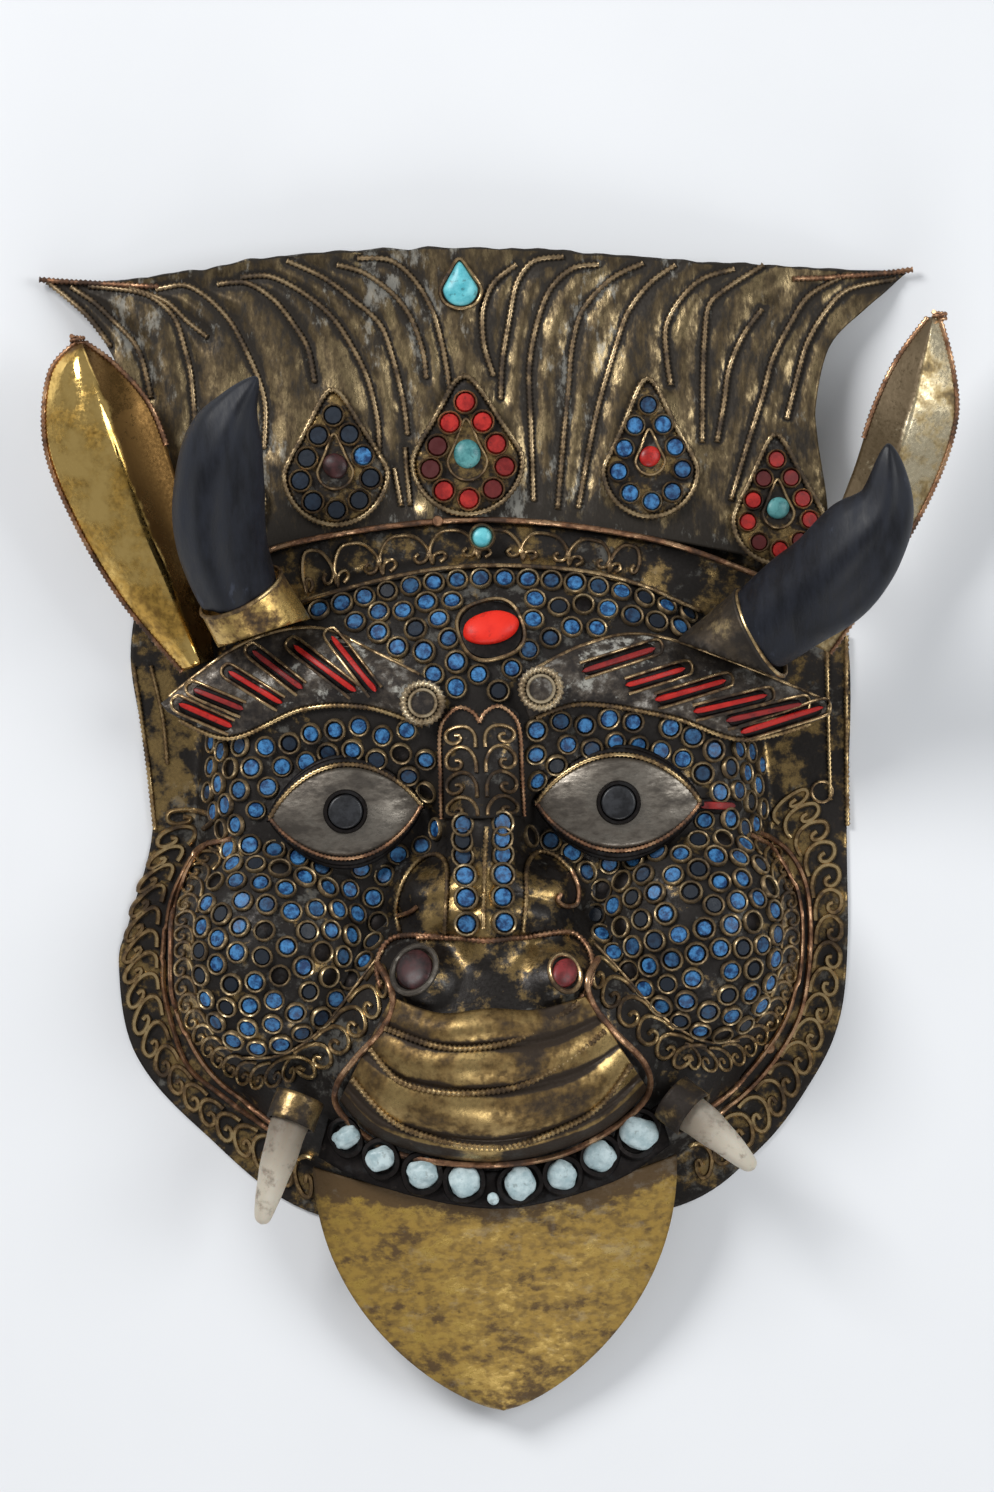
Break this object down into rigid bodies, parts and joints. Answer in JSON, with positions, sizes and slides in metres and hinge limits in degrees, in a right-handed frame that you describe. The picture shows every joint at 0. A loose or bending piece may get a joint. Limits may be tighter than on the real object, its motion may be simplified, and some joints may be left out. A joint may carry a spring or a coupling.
{
  "type": "tibetan cham mask",
  "caption": "Hollow beaten-metal demon mask with flared crown, curved horns, leaf ears, set stones, tusks and a long pointed tongue, lying on the flat rim of its back.",
  "frame": {"origin": "centre of the bounding box in X and Y, on the flat underside of the rim (z = 0)", "axes": "+Z out of the face, +Y from the tongue towards the crown, +X to the right as seen from the front"},
  "size_m": [0.3102, 0.3964, 0.0861],
  "materials": {
    "dark_bronze": "beaten copper alloy with dark brown patina and rubbed golden patches",
    "brass_sheet": "thin brass sheet, polished high and stained brown low",
    "grey_plate": "white-metal sheet, scratched and dulled",
    "horn_black": "carved dark horn, matt with pale scuffs",
    "tusk_bone": "animal tooth, worn and grey at the base",
    "coral_red": "polished red-orange stone",
    "garnet_red": "dark red stone in a thin setting",
    "turquoise": "turquoise with dark veins",
    "tooth_stone": "pale blue-white polished stone",
    "pupil_black": "black stone disc"
  },
  "bodies": {
    "root": {"face_shell": "dark_bronze", "crown_plate": "dark_bronze", "headband": "dark_bronze", "lip_plate": "dark_bronze", "nose_panel": "dark_bronze", "gum_strip": "dark_bronze", "tongue": "brass_sheet", "forehead_stone": "coral_red", "forehead_bezel": "dark_bronze", "crown_drop": "turquoise", "crown_round": "turquoise", "ear_left": "brass_sheet", "horn_left": "horn_black", "horn_collar_left": "brass_sheet", "brow_left": "grey_plate", "eye_left": "grey_plate", "pupil_left": "pupil_black", "tusk_left": "tusk_bone", "tusk_collar_left": "brass_sheet", "nostril_stone_left": "garnet_red", "nostril_bezel_left": "grey_plate", "ear_right": "brass_sheet", "horn_right": "horn_black", "horn_collar_right": "brass_sheet", "brow_right": "grey_plate", "eye_right": "grey_plate", "pupil_right": "pupil_black", "tusk_right": "tusk_bone", "tusk_collar_right": "brass_sheet", "nostril_stone_right": "garnet_red", "nostril_bezel_right": "grey_plate", "tooth_1": "tooth_stone", "tooth_2": "tooth_stone", "tooth_3": "tooth_stone", "tooth_4": "tooth_stone", "tooth_5": "tooth_stone", "tooth_6": "tooth_stone", "tooth_7": "tooth_stone", "tooth_8": "tooth_stone", "medallion_outer_left": "dark_bronze", "medallion_stone_outer_left": "garnet_red", "medallion_left": "dark_bronze", "medallion_stone_left": "garnet_red", "medallion_middle": "dark_bronze", "medallion_stone_middle": "turquoise", "medallion_right": "dark_bronze", "medallion_stone_right": "coral_red", "medallion_outer_right": "dark_bronze", "medallion_stone_outer_right": "turquoise"}
  },
  "joints": []
}
